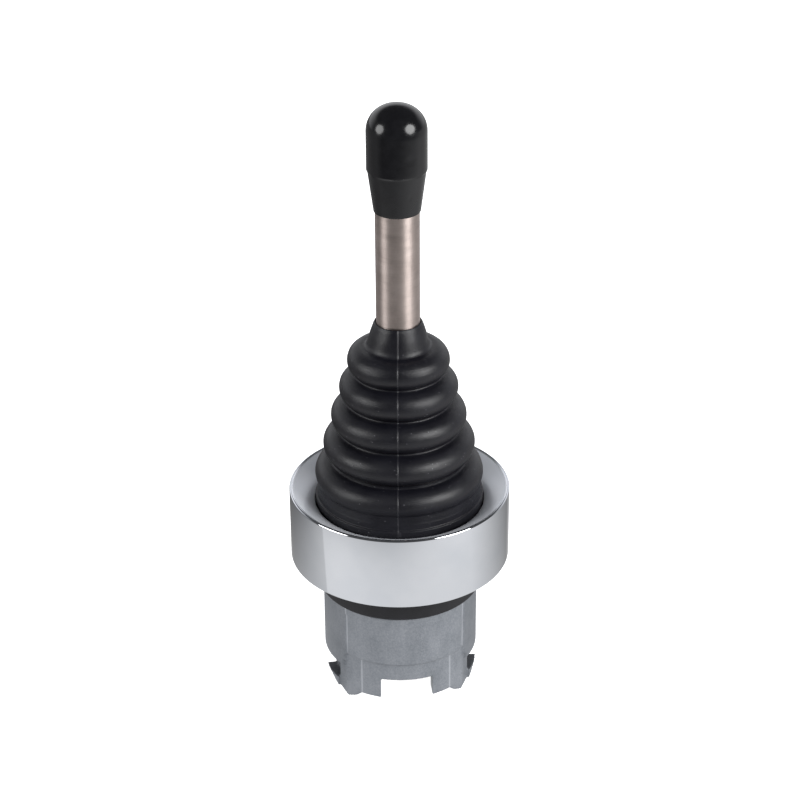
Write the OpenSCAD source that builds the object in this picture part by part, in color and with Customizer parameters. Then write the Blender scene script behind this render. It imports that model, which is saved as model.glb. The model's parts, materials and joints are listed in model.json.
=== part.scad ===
// Joystick head for a round panel hole: a knobbed lever in a rubber bellows, a chromed bezel
// and a die-cast body. Inside, a universal joint lets the lever tilt two ways, and a dished
// rocker plate on the lever works four sprung plungers.
// Millimetres. Z runs up the lever and the front of the body faces -Y.
// The origin is the middle of the panel seat, the underside of the gasket's flange.

/* [Body] */
// Diameter of the shank that goes through the panel hole
shank_d = 22; // [21.6:0.1:24]
// Depth of the round shank below the panel seat
shank_depth = 11.5; // [11:0.1:13]
// Bore for the mechanism
bore_d = 18.4; // [18.2:0.1:18.8]
// Diameter of the neck that the gasket sits in
neck_d = 21; // [20.6:0.1:21.4]
// Thickness of the flange inside the bezel
flange_t = 1.8; // [1.2:0.1:2]
// Share of the room between bore and bezel that the tube inside the bellows takes
tube_share = 0.345; // [0.3:0.005:0.4]
// Bore below the guide plate
lower_bore_d = 16.4; // [16:0.1:17]
// Diameter at the bottom of the side grooves
groove_d = 19; // [18.6:0.1:19.6]
// Height of the side grooves where they are deepest
groove_h = 1.7; // [1.2:0.1:2]
// Height of the sloping side above each groove
groove_slope_h = 1.5; // [1:0.1:1.8]
// Height of the side cheeks between the panels' lower edge and the slope
cheek_h = 1.3; // [0.8:0.1:1.6]
// Height of the side lugs
lug_h = 3; // [2:0.1:3.6]
// Diameter at the lower end of the tapered lugs
lug_foot_d = 18.6; // [18:0.1:20]
// Width of the lugs
lug_w = 13.7; // [11:0.1:14.4]
// Diameter of the front and back feet
foot_d = 21.2; // [20.6:0.1:21.6]
// Depth of the front and back feet below the panel seat
foot_depth = 17.5; // [17:0.1:19]
// Width of the feet between their raised edges
foot_w = 12.6; // [11:0.1:14]
// Step between the middle of a foot and its flanks
foot_step = 0.25; // [0.1:0.05:0.4]
// Width over the flanks of a foot
foot_flank_w = 16.8; // [15:0.1:17.4]
// Width of the slot in each foot
slot_w = 7.3; // [5:0.1:9]
// Height of the slot in each foot
slot_h = 3.2; // [2:0.1:4]
// Half angle of the front and back panels
panel_angle = 48.9; // [40:0.1:54]
// Width of the fine grooves at the panels' edges
edge_groove_w = 0.5; // [0.3:0.05:0.8]
// Depth of those grooves
edge_groove_depth = 0.15; // [0.05:0.05:0.3]

/* [Bezel] */
// Diameter of the bezel
bezel_d = 31; // [29.8:0.1:34]
// Height of the bezel's lower edge above the panel seat
bezel_bottom = 1.2; // [0.8:0.1:1.6]
// Height of the bezel
bezel_h = 10.7; // [10:0.1:13]
// Wall round the flange of the body
bezel_wall = 1.9; // [1.4:0.1:2.4]
// Width of the rim round the dish in its top
rim_w = 1; // [0.9:0.1:1.6]
// Depth of the dish
dish_depth = 4.1; // [3:0.1:4.4]
// Thickness of the lip that holds the bellows down
lip_t = 0.9; // [0.6:0.1:1.4]
// Radius of the bezel's top edge
bezel_edge_r = 0.6; // [0.2:0.1:0.6]

/* [Gasket] */
// How far the gasket's flange stands back from the bezel's bore
gasket_inset = 0.4; // [0.2:0.1:1]
// Diameter of its collar in the panel hole
collar_d = 23; // [22.6:0.1:24]
// Height of the collar
collar_h = 3.6; // [2:0.1:4.5]

/* [Lever] */
// Diameter of the lever's shaft
shaft_d = 6; // [5.4:0.1:6.1]
// Height of the shaft's shoulder above the panel seat
shaft_top = 53.5; // [48:0.5:80]
// Diameter of the stud that carries the knob
stud_d = 4; // [3:0.1:4.4]
// Length of that stud
stud_l = 8; // [6:0.5:9]
// Tilt to each side
tilt = 12; // [8:0.5:12.5]
// Height of the pivot above the panel seat
pivot_z = -1; // [-1.3:0.1:-0.8]

/* [Knob] */
// Largest diameter of the knob
knob_d = 8.1; // [7.6:0.1:14]
// Length of the knob
knob_l = 14.8; // [14:0.1:30]
// Diameter of the knob at its lower end
knob_foot_d = 6.3; // [6:0.1:7.4]
// Length of the tapered part
knob_taper_l = 5.9; // [3:0.1:7]
// Step between the taper and the round part
knob_step = 0.12; // [0.05:0.01:0.2]
// Height of the dome
knob_dome_h = 3.8; // [2:0.1:4.2]
// Outer diameter of the threaded insert
insert_d = 5.4; // [5:0.1:5.6]
// Depth of the insert above the knob's lower end
insert_depth = 1; // [0.6:0.1:1.6]

/* [Bellows] */
// Number of rings
ring_count = 5; // [4:1:5]
// Diameter of the top ring
top_ring_d = 14.1; // [13.6:0.1:15]
// Diameter of the lowest ring
low_ring_d = 23.5; // [22:0.1:24]
// Roundness of the rings, as a diameter
ring_round_d = 4.1; // [3.6:0.1:4.2]
// Height of the lowest ring's middle above the panel seat
low_ring_z = 14.3; // [13.8:0.1:15]
// Step between the top two rings
ring_pitch = 4.15; // [4:0.05:4.4]
// What each further step is longer by
ring_pitch_growth = 0.117; // [0:0.001:0.15]
// Wall of the rubber
boot_wall = 0.9; // [0.7:0.1:1]
// Length of the neck above the top ring's middle
boot_neck_l = 5.9; // [5:0.1:9]
// Wall of the base that goes through the bezel
boot_base_wall = 1; // [0.8:0.1:1.2]
// Thickness of the bead under the bezel's lip
bead_t = 1.3; // [0.8:0.1:1.6]

/* [Universal joint] */
// Diameter of the trunnions
trunnion_d = 2; // [1.6:0.1:2.4]
// Outer diameter of the two forks
fork_d = 7.4; // [7:0.1:7.6]
// Gap between the ears of a fork
ear_gap = 4.4; // [4:0.1:4.6]
// Width of the ears
ear_w = 3.8; // [3.4:0.1:4]
// Distance from the pivot to the bottom of each fork's slot
slot_reach = 3.6; // [3.4:0.1:3.8]
// Thickness of the upper fork's crown
crown_t = 1; // [0.8:0.1:1.2]
// Diameter of the upper fork's spigot in the shaft
spigot_d = 3.4; // [2.6:0.1:3.8]
// Length of that spigot
spigot_l = 5.4; // [4:0.1:8]
// Diameter of the cross pin through the shaft
cross_pin_d = 1.5; // [1:0.1:1.6]

/* [Rocker plate] */
// Diameter of the rocker plate
rocker_d = 16.8; // [16.2:0.1:17]
// Thickness of the rocker plate
rocker_t = 1; // [0.8:0.1:1.2]
// Height of its underside above the pivot
rocker_drop = 1.3; // [1.1:0.1:1.6]

/* [Plungers] */
// Distance of each plunger from the middle
plunger_place = 6.3; // [6.2:0.05:6.4]
// Diameter of the plungers
plunger_d = 3; // [2.6:0.1:3.2]
// Depth of the plungers' lower ends below the panel seat
plunger_depth = 16; // [14:0.1:17]
// Diameter of the collar on each plunger
plunger_collar_d = 4.4; // [4:0.1:4.5]
// Thickness of that collar
plunger_collar_t = 0.8; // [0.6:0.1:1]
// Distance from the plunger's tip to the collar
plunger_head_l = 3.1; // [2.6:0.1:3.4]
// Gap between plunger and rocker plate at rest
plunger_gap = 0.3; // [0.25:0.01:0.4]
// Wire diameter of the plunger springs
wire_d = 0.4; // [0.3:0.02:0.44]
// Turns of each spring
spring_turns = 5.5; // [4:0.5:7]

/* [Plates and rings] */
// Depth of the guide plate's seat below the end of the round shank
guide_seat = 0.5; // [0.3:0.1:0.8]
// Thickness of the guide plate
guide_t = 2; // [1.4:0.1:2.2]
// Thickness of the gate plate
gate_t = 1; // [0.8:0.1:1]
// Height of the gate plate's underside above the panel seat
gate_z = 6.3; // [6.2:0.1:6.6]
// Corner radius of the gate's opening
gate_corner_r = 2.4; // [1:0.1:2.8]
// Thickness of the two snap rings
snap_t = 0.5; // [0.4:0.05:0.5]
// Width of the gap in the snap rings
snap_gap = 5; // [3:0.5:7]
// Diameter of the screw under the pivot post
screw_d = 3; // [2:0.1:3]
// Head diameter of that screw
screw_head_d = 5.2; // [4.4:0.1:5.6]
// Head height of that screw
screw_head_h = 1.7; // [1.2:0.1:2]
// How far that screw goes into the pivot post
screw_reach = 3.2; // [2:0.1:4]

/* [Clearances] */
// Radial clearance of parts that move in each other
run_gap = 0.05; // [0.02:0.01:0.08]
// Clearance between parts that are pressed or screwed together
fit_gap = 0.05; // [0.02:0.01:0.08]

/* [Hidden] */
$fn = 96;
cut = 0.01;

// Directions of the four plungers, as angles round Z
front = -90;
right = 0;
back = 90;
left = 180;

// Radii that several parts share
shank_r = shank_d / 2;
bore_r = bore_d / 2;
shaft_r = shaft_d / 2;
fork_r = fork_d / 2;
plunger_r = plunger_d / 2;
neck_r = neck_d / 2;
groove_r = groove_d / 2;
foot_r = foot_d / 2;
lug_r = shank_r - fit_gap;
lug_foot_r = lug_foot_d / 2;
bezel_r = bezel_d / 2;
bezel_bore_r = bezel_r - bezel_wall;
flange_r = bezel_bore_r - fit_gap;
tube_r = bore_r + tube_share * (flange_r - bore_r);
gasket_r = bezel_bore_r - gasket_inset;
boot_base_r = tube_r + 2 * fit_gap + boot_base_wall;
bead_r = flange_r - 3 * fit_gap;

// Levels of the body, from the bottom up
groove_slope_bottom = -shank_depth - cheek_h - groove_slope_h;
lug_top = groove_slope_bottom - groove_h;
lug_bottom = lug_top - lug_h;
guide_z = -shank_depth - guide_seat;
guide_top = guide_z + guide_t;
clamp_bottom = bezel_bottom + flange_t;
bezel_top = bezel_bottom + bezel_h;
dish_bottom = bezel_top - dish_depth;
lip_bottom = dish_bottom - lip_t;
bead_bottom = lip_bottom - bead_t;
snap_room = snap_t + 2 * fit_gap;
gate_top = gate_z + gate_t;
tube_rim = 0.4;
tube_top = gate_top + snap_room + tube_rim;

// The casting's side walls and feet reach this far into its round part
weld = 0.3;
weld_top = 0.5 - shank_depth;

// Grooves of the two snap rings in the bore, and the ledge that the gate plate lies on
snap_groove_r = bore_r + 0.45;
gate_ledge_r = bore_r + 0.6;
gate_groove_r = bore_r + 1;

// Lever: heights above the pivot are added to pivot_z
crown_top = pivot_z + slot_reach + crown_t;
cross_pin_z = crown_top + rocker_t + cross_pin_d / 2 + fit_gap;

// Gate opening: half its width lets the tilted shaft come to its side
gate_room = 0.12;
gate_half = (gate_top - pivot_z) * tan(tilt) / cos(tilt) + shaft_r / cos(tilt) + gate_room;

// Plungers
plunger_tip = pivot_z + rocker_drop - plunger_gap;
collar_top = plunger_tip - plunger_head_l;
collar_bottom = collar_top - plunger_collar_t;
spring_room = 0.3;
spring_r = plunger_r + run_gap + wire_d / 2 + spring_room;
plunger_edge = 0.4;

// Bellows
ring_r = ring_round_d / 2;
function ring_z(i) = low_ring_z + (ring_count - 1 - i) * ring_pitch
    + ring_pitch_growth * ((ring_count - 1) * (ring_count - 2) - i * (i - 1)) / 2;
function ring_mid_r(i) = top_ring_d / 2 - ring_r
    + (low_ring_d - top_ring_d) / 2 * i / (ring_count - 1);
boot_top = ring_z(0) + boot_neck_l;
valley_out = 0.15;
neck_wall = 0.43;
base_step = 0.25;
base_step_h = 3.2;

// Point at share t along the curve from a to c that leaves a towards b
function bend(a, b, c, t) = a * pow(1 - t, 2) + b * 2 * t * (1 - t) + c * pow(t, 2);

// Ring from inner radius ri to outer radius ro, from z0 up by h
module ring(ri, ro, z0, h) {
    rotate_extrude() translate([ri, z0]) square([ro - ri, h]);
}

module disc(r, z0, h) {
    translate([0, 0, z0]) cylinder(r = r, h = h);
}

// C-shaped snap ring whose gap points to the given angle
module snap_ring(ri, ro, z0, gap_angle) {
    difference() {
        ring(ri, ro, z0, snap_t);
        rotate(gap_angle) translate([0, -snap_gap / 2, z0 - cut])
            cube([ro + 1, snap_gap, snap_t + 2 * cut]);
    }
}

// Fork whose ears stand apart along X above the pivot's level, with trunnion holes along X
module fork_ears(depth) {
    difference() {
        intersection() {
            union() {
                rotate([0, 90, 0]) cylinder(d = ear_w, h = fork_d, center = true);
                translate([-fork_r, -ear_w / 2, -depth]) cube([fork_d, ear_w, depth]);
            }
            translate([0, 0, -depth]) cylinder(r = fork_r, h = depth + ear_w);
        }
        translate([-ear_gap / 2, -fork_r, -slot_reach]) cube([ear_gap, fork_d, slot_reach + ear_w]);
        rotate([0, 90, 0]) cylinder(d = trunnion_d + 2 * run_gap, h = fork_d + 2, center = true);
    }
}

// Round wire wound along Z, with one closed turn at each end
module coil_spring(mean_r, z0, z1, turns) {
    steps = 16;
    sides = 6;
    wire_r = wire_d / 2;
    low = z0 + wire_r;
    rise = z1 - z0 - wire_d;
    closed = wire_d * 1.05;
    open_pitch = (rise - 2 * closed) / (turns - 2);
    count = turns * steps;
    function height(a) = a < 1 ? a * closed
        : a > turns - 1 ? rise - (turns - a) * closed
        : closed + (a - 1) * open_pitch;
    points = [for (i = [0:count], j = [0:sides - 1])
        let (a = i / steps, b = 360 * j / sides, r = mean_r + wire_r * cos(b))
        [r * cos(360 * a), r * sin(360 * a), low + height(a) + wire_r * sin(b)]];
    first = [for (j = [0:sides - 1]) j];
    last = [for (j = [sides - 1:-1:0]) count * sides + j];
    walls = [for (i = [0:count - 1], j = [0:sides - 1])
        let (k = (j + 1) % sides)
        [i * sides + j, (i + 1) * sides + j, (i + 1) * sides + k, i * sides + k]];
    polyhedron(points = points, faces = concat([first], walls, [last]), convexity = 8);
}

module knob() color("#141415") {
    low_r = knob_foot_d / 2;
    big_r = knob_d / 2;
    edge_r = 0.15;
    dome_z = knob_l - knob_dome_h;
    cavity_r = insert_d / 2 + fit_gap;
    translate([0, 0, shaft_top]) difference() {
        rotate_extrude() polygon(concat(
            [[0, 0], [low_r - edge_r, 0], [low_r, edge_r],
             [big_r - knob_step, knob_taper_l - 2 * knob_step], [big_r, knob_taper_l]],
            [for (a = [0:7.5:90]) [big_r * cos(a), dome_z + knob_dome_h * pow(sin(a), 0.9)]]));
        translate([0, 0, -cut]) cylinder(d = stud_d + 2 * fit_gap, h = stud_l + 0.2);
        translate([0, 0, insert_depth]) cylinder(r = cavity_r, h = stud_l - insert_depth);
    }
}

module knob_insert() color("#b5954a") {
    insert_l = stud_l - insert_depth - 2 * fit_gap;
    translate([0, 0, shaft_top + insert_depth + fit_gap]) difference() {
        rotate_extrude() difference() {
            square([insert_d / 2, insert_l]);
            translate([insert_d / 2 - 0.3, insert_l / 2 - 0.5]) square([1, 1]);
        }
        translate([0, 0, -cut]) cylinder(d = stud_d + 2 * fit_gap, h = insert_l + 1);
    }
}

module lever_shaft() color("#9c9590") {
    difference() {
        union() {
            disc(shaft_r, crown_top, shaft_top - crown_top);
            translate([0, 0, shaft_top]) cylinder(d = stud_d, h = stud_l - 0.3);
            translate([0, 0, shaft_top + stud_l - 0.3]) cylinder(d1 = stud_d, d2 = stud_d - 0.6, h = 0.3);
        }
        translate([0, 0, crown_top - cut]) cylinder(d = spigot_d + 2 * fit_gap, h = spigot_l + 0.3);
        cross_hole();
    }
}

// Hole for the cross pin, along Y
module cross_hole() {
    translate([0, 0, cross_pin_z]) rotate([90, 0, 0])
        cylinder(d = cross_pin_d + 2 * fit_gap, h = 2 * fork_d, center = true);
}

module shaft_pin() color("#8f9296") {
    translate([0, 0, cross_pin_z]) rotate([90, 0, 0]) cylinder(d = cross_pin_d, h = fork_d, center = true);
}

module pivot_fork() color("#85878a") {
    difference() {
        union() {
            translate([0, 0, pivot_z]) rotate([180, 0, 90]) fork_ears(slot_reach + crown_t);
            disc(fork_r, crown_top - crown_t, crown_t);
            translate([0, 0, crown_top]) cylinder(d = spigot_d, h = spigot_l);
        }
        cross_hole();
    }
}

module rocker_plate() color("#c9cbcd") {
    rim_r = rocker_d / 2;
    low = pivot_z + rocker_drop;
    eye_r = shaft_r + fit_gap;
    in_r = fork_r + 1.3;
    top_in_r = fork_r + 0.5;
    rotate_extrude() polygon([
        [in_r, low], [rim_r, low], [rim_r, low + rocker_t], [in_r + 1.2, low + rocker_t],
        [top_in_r + 1, crown_top + rocker_t], [eye_r, crown_top + rocker_t], [eye_r, crown_top],
        [top_in_r, crown_top], [in_r, low + rocker_t]]);
}

module cross_spider() color("#6f7276") {
    half = ear_gap / 2 - 0.1;
    arm = fork_r - 0.05;
    translate([0, 0, pivot_z]) {
        intersection() {
            cube(2 * half, center = true);
            sphere(r = half * 1.42);
        }
        for (turn = [0, 90]) rotate([0, 90, turn]) cylinder(d = trunnion_d, h = 2 * arm, center = true);
    }
}

module pivot_post() color("#85878a") {
    head_bottom = pivot_z - slot_reach - 1.4;
    waist_r = fork_r * 0.72;
    foot_t = 1.2;
    difference() {
        union() {
            translate([0, 0, pivot_z]) fork_ears(slot_reach + 0.5);
            disc(fork_r, head_bottom, pivot_z - slot_reach - head_bottom);
            rotate_extrude() polygon([
                [0, guide_top], [fork_r, guide_top], [fork_r, guide_top + foot_t],
                [waist_r, guide_top + 2 * foot_t], [waist_r, head_bottom - 0.6],
                [fork_r, head_bottom], [0, head_bottom]]);
        }
        translate([0, 0, guide_top - cut]) cylinder(d = screw_d + 2 * fit_gap, h = screw_reach + 0.4);
    }
}

module post_screw() color("#5d6063") {
    head_bottom = guide_z - screw_head_h;
    difference() {
        union() {
            disc(screw_head_d / 2, head_bottom, screw_head_h);
            disc(screw_d / 2, guide_z - cut, guide_t + screw_reach);
        }
        translate([0, 0, head_bottom - cut])
            cylinder(d = screw_head_d / 2, h = screw_head_h * 0.6, $fn = 6);
    }
}

module guide_plate() color("#d8d2c2") {
    difference() {
        disc(bore_r - fit_gap, guide_z, guide_t);
        translate([0, 0, guide_z - cut]) {
            cylinder(d = screw_d + 4 * fit_gap, h = guide_t + 1);
            for (a = [front, right, back, left]) rotate(a) translate([plunger_place, 0, 0])
                cylinder(r = plunger_r + run_gap, h = guide_t + 1);
        }
    }
}

module guide_snap_ring() color("#4b4e52") {
    snap_ring(2 * bore_r - snap_groove_r, snap_groove_r - fit_gap, guide_top + fit_gap, 45);
}

module plunger(direction) color("#e6e2d6") {
    shoulder = plunger_tip - plunger_r;
    rotate(direction) translate([plunger_place, 0, 0]) {
        translate([0, 0, shoulder]) sphere(r = plunger_r);
        disc(plunger_r, plunger_edge - plunger_depth, shoulder + plunger_depth - plunger_edge);
        translate([0, 0, -plunger_depth])
            cylinder(r1 = plunger_r - plunger_edge, r2 = plunger_r, h = plunger_edge);
        disc(plunger_collar_d / 2, collar_bottom, plunger_collar_t);
    }
}

module plunger_spring(direction) color("#b9bcc0") {
    rotate(direction) translate([plunger_place, 0, 0])
        coil_spring(spring_r, guide_top + fit_gap, collar_bottom - fit_gap, spring_turns);
}

module gate_plate() color("#8d9196") {
    straight = gate_half - gate_corner_r;
    translate([0, 0, gate_z]) linear_extrude(gate_t) difference() {
        circle(r = gate_ledge_r - fit_gap);
        for (x = [-1, 1], y = [-1, 1]) translate([x * straight, y * straight]) circle(r = gate_corner_r);
        square([2 * gate_half, 2 * straight], center = true);
        square([2 * straight, 2 * gate_half], center = true);
    }
}

module gate_snap_ring() color("#4b4e52") {
    snap_ring(bore_r - 0.2, gate_groove_r - fit_gap, gate_top + fit_gap, 45);
}

// Round part of the casting, seen in section: shank, neck, flange and tube round the stepped bore
module casting_section() {
    low_r = lower_bore_d / 2;
    polygon([
        [low_r, -foot_depth], [groove_r, -foot_depth], [groove_r, -shank_depth],
        [shank_r, -shank_depth], [shank_r, -collar_h], [neck_r, -collar_h],
        [neck_r, bezel_bottom], [flange_r, bezel_bottom], [flange_r, clamp_bottom],
        [tube_r, clamp_bottom], [tube_r, tube_top], [gate_ledge_r, tube_top],
        [gate_ledge_r, gate_top + snap_room], [gate_groove_r, gate_top + snap_room],
        [gate_groove_r, gate_top], [gate_ledge_r, gate_top], [gate_ledge_r, gate_z],
        [bore_r, gate_z], [bore_r, guide_top + snap_room], [snap_groove_r, guide_top + snap_room],
        [snap_groove_r, guide_top], [bore_r, guide_top], [bore_r, guide_z], [low_r, guide_z]]);
}

// Box along X that keeps what lies within the lugs' width, from z0 up to z1
module across(width, z0, z1) {
    translate([-shank_d, -width / 2, z0]) cube([2 * shank_d, width, z1 - z0]);
}

// Side walls below the shank: cheeks, sloping roofs of the grooves and tapered lugs
module casting_sides() {
    low_r = lower_bore_d / 2;
    in_r = groove_r - weld;
    intersection() {
        rotate_extrude() polygon([
            [in_r, weld_top], [shank_r, weld_top], [shank_r, -shank_depth - cheek_h],
            [groove_r, groove_slope_bottom], [in_r, groove_slope_bottom]]);
        across(lug_w, groove_slope_bottom - 1, shank_d);
    }
    intersection() {
        rotate_extrude() polygon([
            [low_r, lug_bottom], [lug_foot_r, lug_bottom], [lug_r, lug_top], [low_r, lug_top]]);
        across(lug_w, lug_bottom - 1, shank_d);
    }
}

// Front and back feet, their middle a little proud of their flanks
module casting_feet() {
    in_r = groove_r - weld;
    for (size = [[foot_w, foot_r], [foot_flank_w, foot_r - foot_step]]) intersection() {
        ring(in_r, size[1], -foot_depth, weld_top + foot_depth);
        rotate(90) across(size[0], -foot_depth - 1, shank_d);
    }
}

module body() color("#8b9098") {
    difference() {
        union() {
            rotate_extrude() casting_section();
            casting_sides();
            casting_feet();
        }
        // slots in the feet
        translate([-slot_w / 2, -shank_d, -foot_depth - 1]) cube([slot_w, 2 * shank_d, slot_h + 1]);
        // fine grooves at the edges of the panels
        for (a = [-panel_angle, panel_angle], side = [front, back]) rotate(side + a)
            translate([shank_r - edge_groove_depth, -edge_groove_w / 2, -shank_depth - 1])
            cube([1, edge_groove_w, shank_depth + 1 - collar_h]);
    }
}

module boot_clamp_ring() color("#77797c") {
    ring(tube_r + fit_gap, flange_r - fit_gap, clamp_bottom, bead_bottom - clamp_bottom);
}

// Bellows seen in section, as wide as its middle line plus swell, with rings of radius r
module bellows_section(r, swell, low_r, top_r) {
    step_z = dish_bottom + base_step_h;
    base_top = low_ring_z - ring_r + base_step;
    for (i = [0:ring_count - 1]) translate([ring_mid_r(i), ring_z(i)]) circle(r = r);
    polygon(concat(
        [[0, bead_bottom], [low_r, bead_bottom], [low_r, step_z], [low_r - base_step, step_z + 0.1],
         [low_r - base_step, base_top]],
        [for (i = [ring_count - 1:-1:0]) [ring_mid_r(i) + swell, ring_z(i)]],
        // the neck narrows towards its rounded lip
        [for (t = [0:0.25:1]) bend([top_r + 1.3, ring_z(0) + 1.2],
            [top_r + 0.7, boot_top - 2.2], [top_r + neck_wall - 0.08, boot_top - 0.6], t)],
        [[top_r + 0.2, boot_top - 0.1], [top_r, boot_top], [0, boot_top]]));
}

module boot() color("#2a2a2d") {
    gap_r = shaft_r + 0.08;
    inner_r = tube_r + 2 * fit_gap;
    rotate_extrude() difference() {
        union() {
            bellows_section(ring_r, valley_out, boot_base_r, gap_r);
            translate([inner_r, bead_bottom]) square([bead_r - inner_r, bead_t]);
        }
        for (i = [0:ring_count - 1]) translate([ring_mid_r(i), ring_z(i)]) circle(r = ring_r - boot_wall);
        polygon(concat(
            [[0, bead_bottom - cut], [inner_r, bead_bottom - cut], [inner_r, tube_top + 0.6]],
            [for (i = [ring_count - 1:-1:0]) [ring_mid_r(i) + valley_out - boot_wall, ring_z(i)]],
            [[gap_r, ring_z(0) + 2.6], [gap_r, boot_top + cut], [0, boot_top + cut]]));
    }
}

module bezel() color("#cfd2dc") {
    lip_r = boot_base_r + 2 * fit_gap;
    dish_r = bezel_r - rim_w;
    low_edge = 0.25;
    rim_drop = 0.4;
    arc = [for (a = [0:15:90])
        [bezel_r - bezel_edge_r * (1 - cos(a)), bezel_top - bezel_edge_r * (1 - sin(a))]];
    rotate_extrude() polygon(concat(
        [[bezel_bore_r, bezel_bottom], [bezel_r - low_edge, bezel_bottom],
         [bezel_r, bezel_bottom + low_edge]],
        arc,
        [[dish_r + rim_drop / 2, bezel_top - rim_drop / 4]],
        [for (t = [0:0.125:1]) bend([dish_r, bezel_top - rim_drop],
            [(dish_r + lip_r) / 2, dish_bottom + low_edge], [lip_r, dish_bottom], t)],
        [[lip_r, lip_bottom], [bezel_bore_r, lip_bottom]]));
}

module panel_gasket() color("#1b1b1d") {
    in_r = neck_r + fit_gap;
    out_r = collar_d / 2;
    rotate_extrude() polygon([
        [in_r, -collar_h], [out_r - 0.3, -collar_h], [out_r, 0.3 - collar_h], [out_r, 0],
        [gasket_r, 0], [gasket_r, bezel_bottom], [in_r, bezel_bottom]]);
}

knob();
knob_insert();
lever_shaft();
shaft_pin();
pivot_fork();
rocker_plate();
cross_spider();
pivot_post();
post_screw();
guide_plate();
guide_snap_ring();
plunger(front);  // plunger_front
plunger(right);  // plunger_right
plunger(back);  // plunger_back
plunger(left);  // plunger_left
plunger_spring(front);  // plunger_spring_front
plunger_spring(right);  // plunger_spring_right
plunger_spring(back);  // plunger_spring_back
plunger_spring(left);  // plunger_spring_left
gate_plate();
gate_snap_ring();
body();
boot_clamp_ring();
boot();
bezel();
panel_gasket();
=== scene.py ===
"""Industrial joystick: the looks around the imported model, with camera, light and floor."""

import json
import math
from functools import reduce

import bpy
import bmesh
import numpy as np
from mathutils import Matrix, Vector


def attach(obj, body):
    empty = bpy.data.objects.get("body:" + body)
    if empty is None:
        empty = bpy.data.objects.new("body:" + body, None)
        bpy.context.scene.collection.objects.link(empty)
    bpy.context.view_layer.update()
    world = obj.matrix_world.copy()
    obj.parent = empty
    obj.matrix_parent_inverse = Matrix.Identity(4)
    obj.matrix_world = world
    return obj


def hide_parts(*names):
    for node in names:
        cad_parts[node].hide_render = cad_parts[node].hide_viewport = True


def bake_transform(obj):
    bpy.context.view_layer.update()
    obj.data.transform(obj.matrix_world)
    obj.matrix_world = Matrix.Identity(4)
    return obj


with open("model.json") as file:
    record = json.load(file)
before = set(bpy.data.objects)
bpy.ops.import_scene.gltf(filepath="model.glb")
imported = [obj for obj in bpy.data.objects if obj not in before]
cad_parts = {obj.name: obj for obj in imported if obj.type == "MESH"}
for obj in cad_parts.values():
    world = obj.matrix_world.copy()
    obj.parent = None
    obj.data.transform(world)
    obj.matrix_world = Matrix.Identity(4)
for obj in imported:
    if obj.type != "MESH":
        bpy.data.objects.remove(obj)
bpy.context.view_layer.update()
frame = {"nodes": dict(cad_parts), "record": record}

MM = 0.001
scene = bpy.context.scene
nodes = frame["nodes"]

# Sizes are in mm and angles in degrees round Z from +X, so the front is at -90. The main sizes are the
# CAD source's; fine edges, the bezel's dish and the casting's lower edge are read off the photograph.
FRONT = -90
FLOOR_Z = -19.05

# Knob: outer form, the step above the taper, and the bore for its insert
SHAFT_TOP = 53.5
KNOB_R, KNOB_FOOT_R, KNOB_L = 4.05, 3.15, 14.8
KNOB_TAPER_L, KNOB_STEP, KNOB_STEP_L = 5.9, 0.14, 0.25
KNOB_DOME_H, KNOB_DOME_POWER = 3.8, 0.9
KNOB_BORE_R, KNOB_BORE_COVER, KNOB_BORE_CONE = 2.05, 3.0, 0.4
# Mould blemishes of the knob: angle, height, radius and depth
KNOB_BLEMISHES = ((-66.0, 2.9, 0.34, 0.07), (-70.0, 8.3, 0.9, 0.015))

# Boot: the middle of each ring as (radius, height), and the radius of its round
RING_R = 2.05
RINGS = [(5.0, 31.602), (6.175, 27.452), (7.35, 23.185), (8.525, 18.801), (9.7, 14.3)]
# Outlines of its neck and base as (radius, height), and how much each corner is rounded
BOOT_NECK = [(3.12, 37.0), (3.12, 37.5), (3.42, 36.95), (3.88, 35.6), (4.25, 34.2)]
BOOT_NECK_ROUND = [0, 0.1, 0.3, 0.5, 0]
BOOT_BASE = [(11.45, 12.3), (11.55, 11.9), (11.55, 11.12), (11.78, 10.98), (11.78, 7.9), (11.6, 7.4)]
BOOT_BASE_ROUND = [0.1, 0.2, 0.12, 0.12, 0, 0]
# The surface that the rings stand on, from the base up
BOOT_CORE = [(11.55, 5.0), (11.55, 12.5)] + [(r + 0.15, z) for r, z in reversed(RINGS)] + \
    [(4.62, 32.9), (4.2, 34.3), (3.88, 35.6), (3.5, 36.9)]
# Its inside: the wall of the base, the lowest ring, and from the neck down to the cut between its pieces
BASE_INSIDE = [(10.78, 7.4), (10.78, 12.4), (RINGS[4][0] + 0.2, RINGS[4][1])]
NECK_INSIDE = [(3.05, 37.0), (3.05, 34.2), (3.9, 32.0)] + [(r - 0.2, z) for r, z in RINGS[1:4]]
# The height where its pieces meet, how far the cut goes in and down, and where the lowest ring ends
BOOT_SPLIT, BOOT_CUT_IN, BOOT_CUT_DOWN, LAST_RING_END = 16.61, 0.6, 0.1, 12.35
# How softly two rings run into each other
RING_BLEND = 0.5
# Rays from a ring's middle that find its surface: angles from first to end, the top ring's first, step
RAY_FIRST, RAY_END, RAY_FIRST_TOP, RAY_STEP = 96, -91, 128, -4
# Distances tried along a ray, and the least distance between two points that are kept
RAY_FROM, RAY_TO, RAY_TRY, POINTS_APART = 1.6, 2.75, 0.01, 0.05
# Its two upright mould seams, and short ticks beside the front one: degrees off it and heights
SEAM_ANGLES = (-96.0, 84.0)
SEAM_H, SEAM_HALF, TICK_HALF = 0.06, 0.1, 0.09
TICKS_OFF, TICKS_FROM, TICKS_TO = (-1.6, 1.3), 10.2, 11.0
# The fine line under each ring: height, angle on the ring's round, half its width
RING_LINE = (0.03, -43, 4.5)
# Unevenness of the boot: depth, waves round and turn with the height
BOOT_WAVES = ((0.025, 3, 0.7), (0.015, 7, -1.3))

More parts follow.
